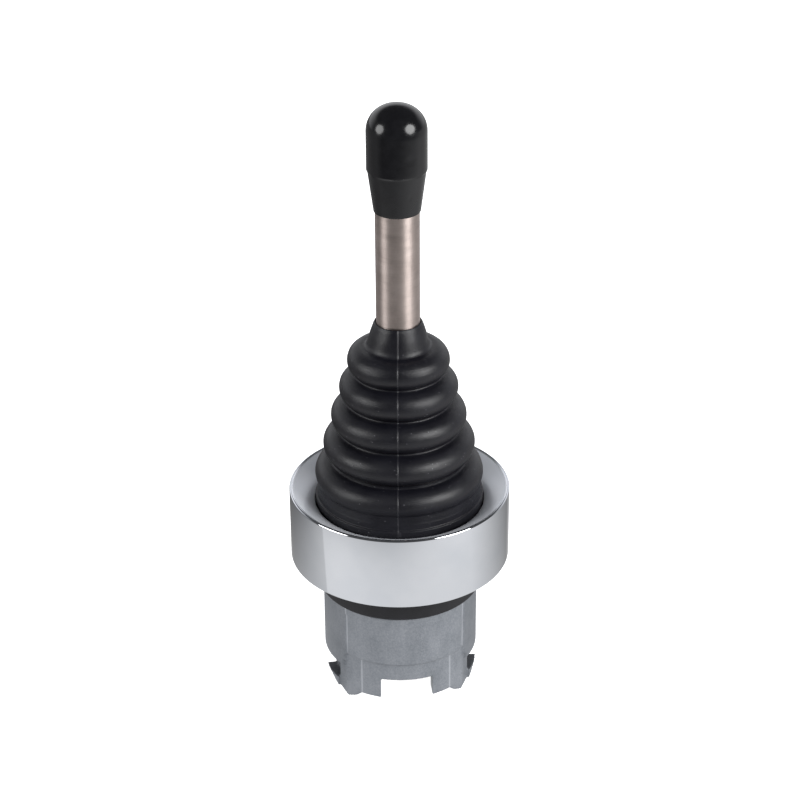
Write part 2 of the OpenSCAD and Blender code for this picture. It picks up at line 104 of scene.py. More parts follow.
# Bezel: ring, dish with the bend of its slope, and the lip that the boot stands in
BEZEL_R, BEZEL_BOTTOM, BEZEL_TOP, BEZEL_BORE_R = 15.5, 1.2, 11.9, 13.6
BEZEL_EDGE_R, BEZEL_FOOT_EDGE_R = 0.28, 0.25
DISH_R, DISH_BOTTOM, DISH_BEND_R, DISH_BEND_H = 15.05, 9.85, 13.2, 1.15
LIP_R, LIP_BOTTOM = 11.9, 6.9
# The rim's inner edge: outside the dish and below the top
RIM_EDGE = [(0.14, 0.02), (0.05, 0.08), (0.0, 0.12)]

# Gasket: flange, collar with its chamfer, the neck it grips, and the waves of the collar
GASKET_R, COLLAR_R, COLLAR_H, COLLAR_CHAMFER, NECK_R = 13.2, 11.5, 3.6, 0.25, 10.55
COLLAR_WAVE, COLLAR_WAVES = 0.02, 5

# Casting: panels, core and cavity
SHANK_R, PANEL_ANGLE, CORE_R, CAVITY_R = 11.0, 48.9, 9.5, 8.3
# Feet and the flanks beside them
FOOT_HALF, FOOT_TOP, FOOT_BOTTOM, FOOT_R = 6.3, -11.5, -17.5, 10.6
FLANK_HALF, FLANK_TOP = 8.45, -11.2
# Cheeks at the sides, and the lugs under them
CHEEK_FROM, CHEEK_TOP, CHEEK_BOTTOM = 54.0, -11.0, -13.9
WALL_AT, LUG_TOP, LUG_R = 60.5, -16.6, 10.95
# The lower edge beside the foot: degrees off the front, and height
TOOTH = [(36.5, -17.4), (42.0, -18.3), (50.5, -19.0), (57.0, -18.4), (63.0, -17.8), (71.0, -17.05),
         (82.0, -16.7)]
# Reach of what is cut, past the casting itself: round it, to front and back, and below
OUTSIDE_R, SIDE_REACH, BELOW_ALL = 12.5, 9, FLOOR_Z - 1
# The corner that is cut off the solid's lug at the back foot: outer radius and degrees off the front
CORNER_R, CORNER_FROM, CORNER_TO = 12.0, 122, 140
# The small ledge under the gasket
LEDGE_R, LEDGE_INNER_R, LEDGE_FROM, LEDGE_TO = 11.12, 10.6, -143, -138
LEDGE_BOTTOM, LEDGE_TOP = -4.7, -3.65
# The raised field on the front panel, and how wide its edge is to each side
FIELD_HALF, FIELD_TOP, FIELD_BOTTOM, FIELD_EDGE = 5.5, -4.7, -10.9, 0.2
# Half the width of the painted highlight along the casting's edges, and where the side grooves start
HIGHLIGHT_HALF, GROOVE_AT = 0.13, 7.4
# Cell size that rounds the casting's edges
VOXEL = 0.15

# Points round each turned piece, and about how far apart they are along its profile
KNOB_SIDES, BOOT_SIDES, BEZEL_SIDES, GASKET_SIDES = 160, 208, 320, 200
POINT_STEP = 0.3
# Degrees between the extra points beside a seam
SEAM_STEPS = (0.12, 0.24, 0.38, 0.55, 0.8, 1.2)

# Floor, and the card in its place that only reflections see, with pools of light: x, y, reach, strength
FLOOR_HALF, FLOOR_GLOW = 3000, 0.86
TABLE_Z, TABLE_DIM = FLOOR_Z - 0.5, 0.09
TABLE_POOLS = ((0, -20, 70, 0.46), (115, -75, 80, 0.66), (-58, -22, 36, 0.34))
# Strength of the room's light, of what it adds for surfaces that scatter, and of the camera's white
ROOM, ROOM_SCATTERED, WHITE = 0.07, 0.5, 1.05
# Lamps: azimuth off the front and elevation, distance and diameter in metres, radiance
LAMPS = {"light_left": (-75, 18.7, 0.60, 0.35, 5.6), "light_right": (51, 23.5, 0.60, 0.40, 8.6)}
LAMPS_AIM = Vector((0, 0, 0.03))

# The camera's view of the photograph, lengths in metres: lens in mm, azimuth off the front, pitch, roll
CAM_DISTANCE, CAM_LENS, CAM_SENSOR, CAM_CLIP = 0.300, 97.875, 36, (0.01, 20)
CAM_PITCH, CAM_AZIMUTH, CAM_ROLL = 27.8, -4.9, 0.43
CAM_TARGET_Z, CAM_TARGET_SIDE = 0.0252, 0.00018


# Meshes

def add_object(name, verts, faces, smooth=True):
    mesh = bpy.data.meshes.new(name)
    mesh.from_pydata([Vector(v) * MM for v in verts], [], faces)
    mesh.validate()
    mesh.polygons.foreach_set("use_smooth", [smooth] * len(mesh.polygons))
    obj = bpy.data.objects.new(name, mesh)
    scene.collection.objects.link(obj)
    return obj


def circle_angles(count, fine_at):
    """Angles round Z in degrees, with extra ones close to the angles in fine_at."""
    keep = [360.0 * i / count for i in range(count)]
    keep = [a for a in keep if all(angle_off(a, f) > SEAM_STEPS[-1] * 1.3 for f in fine_at)]
    for f in fine_at:
        keep += [f % 360] + [(f + s * d) % 360 for d in SEAM_STEPS for s in (-1, 1)]
    return sorted(keep)


def lathe(name, profile, count, closed=True, fine_at=(), shape=None, mark=None):
    """Turns a profile of (radius, z) points round Z. shape(r, z, angle) may move a point.

    mark is a name and a function of (r, z, angle) whose value the mesh stores at its points.
    """
    angles = circle_angles(count, fine_at)
    verts, rows, marks = [], [], []
    for r, z in profile:
        if r < 1e-6:
            rows.append([len(verts)] * len(angles))
            verts.append((0, 0, z))
            marks.append(0.0)
            continue
        row = []
        for a in angles:
            rr, zz = shape(r, z, a) if shape else (r, z)
            row.append(len(verts))
            t = math.radians(a)
            verts.append((rr * math.cos(t), rr * math.sin(t), zz))
            marks.append(mark[1](rr, zz, a) if mark else 0.0)
        rows.append(row)
    faces = []
    pairs = list(zip(rows, rows[1:])) + ([(rows[-1], rows[0])] if closed else [])
    n = len(angles)
    for a, b in pairs:
        for j in range(n):
            k = (j + 1) % n
            quad = [a[j], a[k], b[k], b[j]]
            face = [v for m, v in enumerate(quad) if v not in quad[:m]]
            if len(face) > 2:
                faces.append(face)
    obj = add_object(name, verts, faces)
    fix_normals(obj)
    if mark:
        obj.data.attributes.new(mark[0], "FLOAT", "POINT").data.foreach_set("value", marks)
    return obj


def fix_normals(obj):
    bm = bmesh.new()
    bm.from_mesh(obj.data)
    bmesh.ops.recalc_face_normals(bm, faces=bm.faces)
    bm.to_mesh(obj.data)
    bm.free()


def arc(cx, cz, r, start, end, steps):
    """Points of an arc from angle start to angle end, in degrees."""
    turns = [math.radians(start + (end - start) * i / steps) for i in range(steps + 1)]
    return [(cx + r * math.cos(t), cz + r * math.sin(t)) for t in turns]


def rounded(points, radii, steps=4, closed=True):
    """A polygon with its corners rounded; a radius of 0 keeps the corner."""
    out = []
    n = len(points)
    for i, (p, r) in enumerate(zip(points, radii)):
        p = Vector(p)
        if r <= 0 or (not closed and i in (0, n - 1)):
            out.append(tuple(p))
            continue
        a, b = Vector(points[i - 1]) - p, Vector(points[(i + 1) % n]) - p
        half = a.angle(b) / 2
        if half > math.pi / 2 - 0.02:
            out.append(tuple(p))
            continue
        d = min(r / math.tan(half), a.length * 0.49, b.length * 0.49)
        pa, pb = p + a.normalized() * d, p + b.normalized() * d
        for s in range(steps + 1):
            t = s / steps
            q = pa * (1 - t) ** 2 + p * 2 * t * (1 - t) + pb * t ** 2
            out.append(tuple(q))
    return out


def finer(points, closed=True):
    """The same outline with its long stretches divided."""
    out = []
    ends = points[1:] + (points[:1] if closed else [])
    for (r0, z0), (r1, z1) in zip(points, ends):
        parts = max(1, int(math.hypot(r1 - r0, z1 - z0) / POINT_STEP))
        out += [(r0 + (r1 - r0) * k / parts, z0 + (z1 - z0) * k / parts) for k in range(parts)]
    return out if closed else out + [points[-1]]


def prism(name, outline, z0, z1):
    """A closed solid that stands on an outline, from z0 to z1."""
    n = len(outline)
    verts = [(x, y, z) for z in (z0, z1) for x, y in outline]
    faces = [tuple(range(n - 1, -1, -1)), tuple(range(n, 2 * n))]
    faces += [(i, (i + 1) % n, n + (i + 1) % n, n + i) for i in range(n)]
    obj = add_object(name, verts, faces, smooth=False)
    fix_normals(obj)
    return obj


def sector(name, r_in, r_out, start, end, top, bottom, steps):
    """A closed part of a ring between two angles; bottom gives its lower height at an angle."""
    verts, faces = [], []
    for i in range(steps + 1):
        a = start + (end - start) * i / steps
        c, s = math.cos(math.radians(a)), math.sin(math.radians(a))
        for r, z in ((r_in, bottom(a)), (r_out, bottom(a)), (r_out, top), (r_in, top)):
            verts.append((r * c, r * s, z))
    for i in range(steps):
        for k in range(4):
            m = (k + 1) % 4
            faces.append((4 * i + k, 4 * i + m, 4 * i + 4 + m, 4 * i + 4 + k))
    faces += [(3, 2, 1, 0), tuple(4 * steps + k for k in range(4))]
    obj = add_object(name, verts, faces, smooth=False)
    fix_normals(obj)
    return obj


def bump_at(x, centre, half):
    """A smooth ridge of height 1 at centre, gone at half to each side."""
    d = abs(x - centre) / half
    return 0.0 if d >= 1 else (1 - d * d) ** 2


def degrees_of(width, r):
    """The angle in degrees that a width takes at a radius."""
    return math.degrees(width / r)


def angle_off(a, b):
    return abs((a - b + 180) % 360 - 180)


def direction(azimuth, elevation):
    """The way from the object to a place that is seen at an azimuth off the front and an elevation."""
    a, e = math.radians(azimuth), math.radians(elevation)
    return Vector((math.sin(a) * math.cos(e), -math.cos(a) * math.cos(e), math.sin(e)))


# Materials

class Look:
    """A Principled material and the nodes that feed it. Texture space is the object's own, in metres."""

    def __init__(self, name, **sockets):
        self.mat = bpy.data.materials.new(name)
        self.mat.use_nodes = True
        self.tree = self.mat.node_tree
        self.shader = self.tree.nodes["Principled BSDF"]
        for key, value in sockets.items():
            self.shader.inputs[key.replace("_", " ")].default_value = value
        self.coords = self.add("ShaderNodeTexCoord").outputs["Object"]

    def add(self, kind, **settings):
        made = self.tree.nodes.new(kind)
        for key, value in settings.items():
            setattr(made, key, value)
        return made

    def join(self, out, to):
        self.tree.links.new(out, to)

    def space(self, scale):
        """Texture coordinates stretched by a scale for each axis."""
        mapping = self.add("ShaderNodeMapping")
        mapping.inputs["Scale"].default_value = scale
        self.join(self.coords, mapping.inputs["Vector"])
        return mapping.outputs["Vector"]

    def noise(self, scale, detail, rough, space=None):
        made = self.add("ShaderNodeTexNoise")
        made.inputs["Scale"].default_value = scale
        made.inputs["Detail"].default_value = detail
        made.inputs["Roughness"].default_value = rough
        self.join(space or self.coords, made.inputs["Vector"])
        return made.outputs["Fac"]

    def cells(self, scale):
        """The distance from the nearest of many scattered points."""
        made = self.add("ShaderNodeTexVoronoi")
        made.inputs["Scale"].default_value = scale
        self.join(self.coords, made.inputs["Vector"])
        return made.outputs["Distance"]

    def spread(self, value, low, high, to_low=0.0, to_high=1.0):
        """Maps low..high of a value to to_low..to_high, clamped."""
        made = self.add("ShaderNodeMapRange")
        set_range(made, low, high, to_low, to_high)
        self.join(value, made.inputs["Value"])
        return made.outputs["Result"]

    def math(self, op, a, b=0.0):
        made = self.add("ShaderNodeMath", operation=op)
        for socket, value in zip(made.inputs, (a, b)):
            if isinstance(value, (int, float)):
                socket.default_value = value
            else:
                self.join(value, socket)
        return made.outputs[0]

    def times(self, *values):
        return reduce(lambda a, b: self.math("MULTIPLY", a, b), values)

    def ramp(self, value, stops):
        """Colours along a value; stops are (position, colour)."""
        made = self.add("ShaderNodeValToRGB")
        ramp = made.color_ramp
        while len(ramp.elements) < len(stops):
            ramp.elements.new(0.5)
        for element, (at, colour) in zip(ramp.elements, stops):
            element.position = at
            element.color = (*colour, 1)
        self.join(value, made.inputs["Fac"])
        return made.outputs["Color"]

    def mix(self, share, a, b):
        """Colour a to colour b by a share; each may be a colour or an output."""
        made = self.add("ShaderNodeMix", data_type="RGBA")
        self.join(share, made.inputs["Factor"])
        for socket, value in ((made.inputs[6], a), (made.inputs[7], b)):
            if isinstance(value, tuple):
                socket.default_value = (*value, 1)
            else:
                self.join(value, socket)
        return made.outputs[2]

    def along(self, axis):
        """The position along X, Y or Z."""
        made = self.add("ShaderNodeSeparateXYZ")
        self.join(self.coords, made.inputs[0])
        return made.outputs[axis]

    def from_axis(self):
        """The distance from the Z axis."""
        made = self.add("ShaderNodeVectorMath", operation="LENGTH")
        self.join(self.space((1, 1, 0)), made.inputs[0])
        return made.outputs["Value"]

    def mark(self, name):
        """A value that the piece's mesh stores at its points."""
        return self.add("ShaderNodeAttribute", attribute_name=name).outputs["Fac"]

    def along_direction(self, towards):
        made = self.add("ShaderNodeVectorMath", operation="DOT_PRODUCT")
        self.join(self.coords, made.inputs[0])
        made.inputs[1].default_value = towards
        return made.outputs["Value"]

    def upright_line(self, angle, half):
        """A line up and down the side that faces an angle; half is half its width in metres."""
        a = math.radians(angle)
        off = self.math("ABSOLUTE", self.along_direction((-math.sin(a), math.cos(a), 0)))
        near = self.spread(self.along_direction((math.cos(a), math.sin(a), 0)), 0.0, MM)
        return self.times(self.spread(off, half * 0.5, half * 1.2, 1.0, 0.0), near)

    def colour(self, out):
        self.join(out, self.shader.inputs["Base Color"])

    def rough(self, out):
        self.join(out, self.shader.inputs["Roughness"])

    def bump(self, *layers):
        """Layers are (height output, distance in metres), from the coarse one to the fine one."""
        last = None
        for height, distance in layers:
            made = self.add("ShaderNodeBump")
            made.inputs["Strength"].default_value = 1.0
            made.inputs["Distance"].default_value = distance
            self.join(height, made.inputs["Height"])
            if last is not None:
                self.join(last, made.inputs["Normal"])
            last = made.outputs["Normal"]
        self.join(last, self.shader.inputs["Normal"])


def set_range(node, *numbers):
    """Sets what a Map Range node maps: from low and high, to low and high."""
    for key, number in zip(("From Min", "From Max", "To Min", "To Max"), numbers):
        node.inputs[key].default_value = number


def chrome():
    """Polished outside, satin in the dish."""
    look = Look("bezel_chrome", Metallic=1.0, Base_Color=(0.74, 0.76, 0.80, 1), Roughness=0.05)
    lines = look.noise(900, 4, 0.6, look.space((1, 1, 9)))
    cloud = look.noise(160, 2, 0.5)
    look.colour(look.ramp(cloud, [(0.35, (0.70, 0.725, 0.77)), (0.65, (0.75, 0.77, 0.81))]))
    inside = look.spread(look.from_axis(), (DISH_R + 0.12) * MM, (DISH_R - 0.15) * MM)
    polish = look.spread(look.times(lines, cloud), 0.1, 0.45, 0.03, 0.085)
    look.rough(look.math("ADD", polish, look.times(inside, 0.27)))
    look.join(look.spread(inside, 0.0, 1.0, 1.0, 0.32), look.shader.inputs["Metallic"])
    look.bump((look.noise(70, 1, 0.4), 0.00001), (lines, 0.0000006))
    return look.mat


def brushed_steel():
    look = Look("stainless_steel", Metallic=1.0, Base_Color=(0.52, 0.48, 0.455, 1), Roughness=0.38,
                Anisotropic=0.8, Anisotropic_Rotation=0.25)
    tangent = look.add("ShaderNodeTangent", direction_type="RADIAL", axis="Z")
    look.join(tangent.outputs["Tangent"], look.shader.inputs["Tangent"])
    fine = look.noise(3000, 3, 0.7, look.space((0.12, 0.12, 3.2)))
    bands = look.noise(900, 4, 0.65, look.space((0.25, 0.25, 1.2)))
    cloud = look.noise(420, 3, 0.6)
    shade = look.times(look.math("ADD", fine, bands), 0.5)
    tone = look.math("ADD", look.times(cloud, 0.5), look.times(shade, 0.5))
    look.colour(look.ramp(tone, [(0.3, (0.43, 0.37, 0.34)), (0.5, (0.58, 0.495, 0.46)),
                                 (0.7, (0.70, 0.61, 0.572))]))
    look.rough(look.spread(shade, 0.3, 0.7, 0.34, 0.46))
    look.bump((bands, 0.000004), (fine, 0.0000025))
    return look.mat


def knob_plastic():
    """Glossy, a little rougher towards the knob's foot."""
    look = Look("knob_plastic", Base_Color=(0.011, 0.011, 0.012, 1), Roughness=0.17, IOR=1.5)
    cloud = look.noise(700, 3, 0.6)
    taper = [(SHAFT_TOP + z) * MM for z in (1, KNOB_TAPER_L + 0.6)]
    foot = look.spread(look.along("Z"), *taper, 1.0, 0.0)
    look.rough(look.math("ADD", look.spread(cloud, 0.35, 0.7, 0.14, 0.21), look.times(foot, 0.12)))
    look.colour(look.ramp(cloud, [(0.3, (0.0045, 0.0045, 0.0055)), (0.7, (0.0075, 0.0075, 0.009))]))
    look.bump((look.noise(380, 2, 0.5), 0.000012), (look.noise(2600, 3, 0.6), 0.0000018))
    return look.mat


def boot_rubber():
    """Fine grain with scattered specks of dust and paler mould seams."""
    look = Look("boot_rubber", Base_Color=(0.013, 0.013, 0.016, 1), Roughness=0.5, IOR=1.5)
    grain = look.noise(5200, 4, 0.7)
    cloud = look.noise(320, 4, 0.6)
    specks = look.spread(look.cells(1500), 0.04, 0.15, 1.0, 0.0)
    dust = look.times(specks, look.spread(look.noise(900, 2, 0.5), 0.50, 0.60))
    base = look.ramp(cloud, [(0.3, (0.003, 0.003, 0.006)), (0.7, (0.007, 0.007, 0.0115))])
    pale = look.math("MAXIMUM", look.times(dust, 0.7), look.times(look.mark("seam"), 0.16))
    look.colour(look.mix(pale, base, (0.16, 0.16, 0.175)))
    look.rough(look.spread(look.math("ADD", cloud, grain), 0.7, 1.3, 0.34, 0.50))
    look.bump((cloud, 0.00003), (grain, 0.000025))
    return look.mat


def gasket_rubber():
    look = Look("gasket_rubber", Base_Color=(0.011, 0.011, 0.013, 1), Roughness=0.45, IOR=1.4)
    cloud = look.noise(500, 4, 0.6)
    grain = look.noise(4200, 3, 0.6)
    look.colour(look.ramp(cloud, [(0.3, (0.007, 0.007, 0.009)), (0.7, (0.015, 0.015, 0.018))]))
    look.rough(look.spread(cloud, 0.3, 0.7, 0.35, 0.55))
    look.bump((cloud, 0.00002), (grain, 0.00001))
    return look.mat


def die_cast():
    """Grey casting skin with painted highlights along its edges, painted shade on the flanks, in the grooves
    and on the tops under the cheeks, and a bare raised field.
    """
    look = Look("zinc_casting", Metallic=0.45, Base_Color=(0.29, 0.31, 0.34, 1), Roughness=0.5)
    grain = look.noise(3600, 4, 0.65)
    cloud = look.noise(260, 4, 0.6)
    flow = look.noise(500, 3, 0.6, look.space((1, 1, 0.35)))
    tone = look.math("ADD", look.times(cloud, 0.25), look.times(flow, 0.25))
    tone = look.math("ADD", tone, look.times(grain, 0.5))
    base = look.ramp(tone, [(0.32, (0.175, 0.192, 0.214)), (0.5, (0.258, 0.275, 0.301)),
                            (0.68, (0.345, 0.361, 0.392))])
    # Painted highlight: the panel and foot edges are lightened in the colour
    edge_highlight = look.times(painted_edge_highlight(look), look.spread(flow, 0.3, 0.6, 0.25, 0.65))
    # Painted shade darkens the flanks, the side grooves and the tops under the cheeks
    look.colour(look.mix(painted_shade(look), look.mix(edge_highlight, base, (0.52, 0.54, 0.58)), (0.02, 0.022, 0.025)))
    look.rough(look.spread(grain, 0.3, 0.7, 0.40, 0.58))
    look.bump((raised_field(look), 0.00004), (flow, 0.00003), (grain, 0.00004))
    return look.mat


def front_half(look):
    return look.spread(look.along("Y"), -2 * MM, -3 * MM)


def painted_edge_highlight(look):
    """Painted highlight: 1 along the edges of the panels and of the front foot."""
    z = look.along("Z")
    edges = [look.upright_line(FRONT + side * PANEL_ANGLE, HIGHLIGHT_HALF * MM) for side in (-1, 1)]
    panels = look.times(look.math("ADD", *edges), look.spread(z, FOOT_TOP * MM, (FOOT_TOP + 0.5) * MM))
    off_edge = look.math("SUBTRACT", look.math("ABSOLUTE", look.along("X")), FOOT_HALF * MM)
    step = look.spread(look.math("ABSOLUTE", off_edge), 0.05 * MM, 0.14 * MM, 1.0, 0.0)
    foot = look.times(step, front_half(look), look.spread(z, FOOT_TOP * MM, (FOOT_TOP - 0.4) * MM))
    return look.math("MAXIMUM", panels, foot)


def painted_shade(look):
    """Painted shade: darker flanks, side grooves and tops of the teeth under the cheeks."""
    z = look.along("Z")
    reach = look.math("ABSOLUTE", look.along("X"))
    flank = look.times(look.spread(reach, (FLANK_HALF - 0.25) * MM, (FLANK_HALF + 0.15) * MM), 0.2)
    groove = look.times(look.spread(look.from_axis(), (FOOT_R - 0.2) * MM, (FOOT_R - 0.6) * MM),
                        look.spread(reach, (GROOVE_AT - 0.2) * MM, (GROOVE_AT + 0.2) * MM),
                        look.spread(z, CHEEK_BOTTOM * MM, (CHEEK_BOTTOM - 0.3) * MM, 0.0, 0.55))
    facing = look.add("ShaderNodeSeparateXYZ")
    look.join(look.add("ShaderNodeNewGeometry").outputs["Normal"], facing.inputs[0])
    tops = look.times(look.spread(facing.outputs["Z"], 0.35, 0.7, 0.0, 0.8),
                      look.spread(z, CHEEK_BOTTOM * MM, (CHEEK_BOTTOM - 0.6) * MM))
    return look.math("MAXIMUM", flank, look.math("MAXIMUM", groove, tops))


def raised_field(look):
    """The height of a bare field on the front panel, 1 inside it."""
    aside, z = look.math("ABSOLUTE", look.along("X")), look.along("Z")
    half, top, bottom, edge = (size * MM for size in (FIELD_HALF, FIELD_TOP, FIELD_BOTTOM, FIELD_EDGE))
    return look.times(look.spread(aside, half - edge, half + edge, 1.0, 0.0),
                      look.spread(z, top + edge, top - edge),
                      look.spread(z, bottom - edge, bottom + edge), front_half(look))


def plain_metal(name, colour, rough):
    look = Look(name, Metallic=1.0, Base_Color=(*colour, 1), Roughness=rough)
    grain = look.noise(1800, 4, 0.6)
    dark, light = [c * 0.85 for c in colour], [min(1, c * 1.12) for c in colour]
    look.colour(look.ramp(grain, [(0.3, tuple(dark)), (0.7, tuple(light))]))
    look.rough(look.spread(grain, 0.3, 0.7, rough * 0.8, rough * 1.25))
    look.bump((grain, 0.000008))
    return look.mat


def guide_plastic():
    look = Look("guide_plastic", Base_Color=(0.78, 0.75, 0.66, 1), Roughness=0.45, IOR=1.5)
    grain = look.noise(1600, 3, 0.6)
    look.colour(look.ramp(grain, [(0.3, (0.70, 0.67, 0.58)), (0.7, (0.80, 0.77, 0.69))]))
    look.rough(look.spread(grain, 0.3, 0.7, 0.38, 0.55))
    look.bump((grain, 0.00001))
    return look.mat


LOOKS = {
    "bezel_chrome": chrome(),
    "stainless_steel": brushed_steel(),
    "knob_plastic": knob_plastic(),
    "boot_rubber": boot_rubber(),
    "gasket_rubber": gasket_rubber(),
    "zinc_casting": die_cast(),
    "steel": plain_metal("steel", (0.50, 0.50, 0.51), 0.32),
    "spring_steel": plain_metal("spring_steel", (0.42, 0.43, 0.45), 0.25),
    "brass": plain_metal("brass", (0.75, 0.55, 0.24), 0.28),
    "guide_plastic": guide_plastic(),
}
SLOT_OF = {s["node"]: s["material_slot"] for s in frame["record"]["subparts"]}


def set_look(obj, slot):
    obj.data.materials.clear()
    obj.data.materials.append(LOOKS[slot])


def finish_piece(obj, slot, replaced, body=None):
    """A piece that stands for a CAD node; without a body it is not attached to any."""
    set_look(obj, slot)
    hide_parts(replaced)
    if body:
        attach(obj, body)


# Every CAD node takes the look of its own material slot
for name, obj in nodes.items():
    set_look(obj, SLOT_OF[name])
    obj.data.polygons.foreach_set("material_index", [0] * len(obj.data.polygons))


# Knob

def make_knob():
    dome_z = KNOB_L - KNOB_DOME_H
    step = (KNOB_R - KNOB_STEP, KNOB_TAPER_L - KNOB_STEP_L)
    outer = rounded([(KNOB_BORE_R, 0.0), (KNOB_FOOT_R, 0.0), step, (KNOB_R, KNOB_TAPER_L), (KNOB_R, dome_z)],
                    [0, 0.14, 0.35, 0.12, 0], steps=5, closed=False)
    turns = [math.radians(a) for a in np.linspace(2, 90, 34)]
    dome = [(KNOB_R * math.cos(t), dome_z + KNOB_DOME_H * math.sin(t) ** KNOB_DOME_POWER) for t in turns]
    dome[-1] = (0.0, KNOB_L)
    bore_end = KNOB_L - KNOB_BORE_COVER
    profile = [(0.0, bore_end), (KNOB_BORE_R, bore_end - KNOB_BORE_CONE), outer[0]]
    profile += finer(outer[1:] + dome, closed=False)

    def shape(r, z, a):
        for at, height, size, depth in KNOB_BLEMISHES:
            along, up = math.radians(angle_off(a, at)) * r, z - SHAFT_TOP - height
            d2 = (along ** 2 + up ** 2) / size ** 2
            if d2 < 1:
                r -= depth * (1 - d2) ** 2
        return r, z

    raised = [(r, z + SHAFT_TOP) for r, z in profile]
    knob = lathe("knob_body", raised, KNOB_SIDES, closed=False, shape=shape)
    finish_piece(knob, "knob_plastic", "knob", "lever")


# Boot: a bellows in two pieces

def soft_min(a, b, k):
    h = max(k - abs(a - b), 0.0) / k
    return min(a, b) - h * h * k / 4


def core_r(z):
    if z <= BOOT_CORE[0][1]:
        return BOOT_CORE[0][0]
    for (r0, z0), (r1, z1) in zip(BOOT_CORE, BOOT_CORE[1:]):
        if z <= z1:
            return r0 + (r1 - r0) * (z - z0) / (z1 - z0)
    return BOOT_CORE[-1][0]


def bellows_distance(r, z):
    """Rough distance outside the bellows in mm; below 0 inside."""
    d = (r - core_r(z)) * 0.9
    for mr, mz in RINGS:
        d = soft_min(d, math.hypot(r - mr, z - mz) - RING_R, RING_BLEND)
    return d


def bellows_outline():
    """Outer points from the neck down to the base, found along rays from each ring's middle."""
    points = rounded(BOOT_NECK, BOOT_NECK_ROUND, closed=False)
    for mr, mz in RINGS:
        # the top ring also meets the neck
        first = RAY_FIRST_TOP if mz == RINGS[0][1] else RAY_FIRST
        for a in np.arange(first, RAY_END, RAY_STEP):
            t = math.radians(a)
            for step in np.arange(RAY_FROM, RAY_TO, RAY_TRY):
                r, z = mr + step * math.cos(t), mz + step * math.sin(t)
                if bellows_distance(r, z) > 0:
                    points.append((r, z))
                    break
    apart = [points[0]]
    for p in points[1:]:
        if math.dist(p, apart[-1]) > POINTS_APART:
            apart.append(p)
    return apart


def angle_on_ring(r, z):
    """The angle of a point on a ring's round, or None beside the rings."""
    for mr, mz in RINGS:
        if abs(math.hypot(r - mr, z - mz) - RING_R) < 0.12:
            return math.degrees(math.atan2(z - mz, r - mr))
    return None


def boot_shape(r, z, a):
    """Raised mould seams and lines, and a little unevenness."""
    for at in SEAM_ANGLES:
        r += SEAM_H * bump_at(angle_off(a, at), 0, degrees_of(SEAM_HALF, r))
    on = angle_on_ring(r, z)
    if on is not None:
        height, at, half = RING_LINE
        r += height * bump_at(on, at, half)
    t = math.radians(a)
    r += sum(depth * math.sin(count * t + turn * z) for depth, count, turn in BOOT_WAVES)
    return r, z


def seam_mark(r, z, a):
    """How much of a pale seam or tick a point shows."""
    lines = [(at, SEAM_HALF) for at in SEAM_ANGLES]
    if TICKS_FROM < z < TICKS_TO:
        lines += [(SEAM_ANGLES[0] + off, TICK_HALF) for off in TICKS_OFF]
    return max(bump_at(angle_off(a, at), 0, degrees_of(half, r)) for at, half in lines)


def boot_piece(name, outline):
    piece = lathe(name, finer(outline), BOOT_SIDES, fine_at=SEAM_ANGLES, shape=boot_shape,
                  mark=("seam", seam_mark))
    finish_piece(piece, "boot_rubber", "boot")
    return piece


def make_boot():
    outline = [p for p in bellows_outline() if p[1] > LAST_RING_END]
    outline += rounded(BOOT_BASE, BOOT_BASE_ROUND, closed=False)
    high = [p for p in outline if p[1] > BOOT_SPLIT]
    low = [p for p in outline if p[1] <= BOOT_SPLIT]
    shared = high[-1]
    cut = (shared[0] - BOOT_CUT_IN, shared[1] - BOOT_CUT_DOWN)
    top = boot_piece("boot_upper", high + [cut] + NECK_INSIDE[::-1])
    low = boot_piece("boot_lower", [shared] + low + BASE_INSIDE + [cut])
    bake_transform(low)
    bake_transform(top)


# Bezel and gasket

def make_bezel():
    edge = arc(BEZEL_R - BEZEL_EDGE_R, BEZEL_TOP - BEZEL_EDGE_R, BEZEL_EDGE_R, 0, 90, 9)
    rim = [(DISH_R + out, BEZEL_TOP - down) for out, down in RIM_EDGE]
    # a gentle slope that steepens towards the boot
    a, b, c = rim.pop(), (DISH_BEND_R, DISH_BOTTOM + DISH_BEND_H), (LIP_R, DISH_BOTTOM)
    dish = [tuple(a[k] * (1 - t) ** 2 + b[k] * 2 * t * (1 - t) + c[k] * t * t for k in (0, 1))
            for t in np.linspace(0, 1, 17)]
    foot = arc(BEZEL_R - BEZEL_FOOT_EDGE_R, BEZEL_BOTTOM + BEZEL_FOOT_EDGE_R, BEZEL_FOOT_EDGE_R, -90, 0, 5)
    profile = [(BEZEL_BORE_R, LIP_BOTTOM), (BEZEL_BORE_R, BEZEL_BOTTOM)] + foot + edge + rim + dish + \
        [(LIP_R, DISH_BOTTOM - 0.05), (LIP_R, LIP_BOTTOM)]
    finish_piece(lathe("bezel_ring", profile, BEZEL_SIDES), "bezel_chrome", "bezel", "housing")


def make_gasket():
    profile = rounded([(NECK_R, -COLLAR_H), (COLLAR_R - COLLAR_CHAMFER, -COLLAR_H),
                       (COLLAR_R, COLLAR_CHAMFER - COLLAR_H), (COLLAR_R, 0), (GASKET_R, 0),
                       (GASKET_R, BEZEL_BOTTOM), (NECK_R, BEZEL_BOTTOM)],
                      [0, 0.12, 0.12, 0.05, 0.25, 0.1, 0])

    def shape(r, z, a):
        # only the wall of the collar is wavy
        if -COLLAR_H + 0.2 < z < -0.1:
            r -= COLLAR_WAVE * (1 + math.sin(math.radians(a) * COLLAR_WAVES + z)) / 2
        return r, z

    seal = lathe("panel_seal", finer(profile), GASKET_SIDES, shape=shape)
    finish_piece(seal, "gasket_rubber", "panel_gasket", "housing")


# Body

def foot_edge(a):
    """How low the casting reaches at an angle beside the front foot: two teeth with sloping sides."""
    off_front = abs(a - FRONT)
    for (a0, z0), (a1, z1) in zip(TOOTH, TOOTH[1:]):
        if off_front <= a1:
            return z0 + (z1 - z0) * (off_front - a0) / (a1 - a0)
    return TOOTH[-1][1]


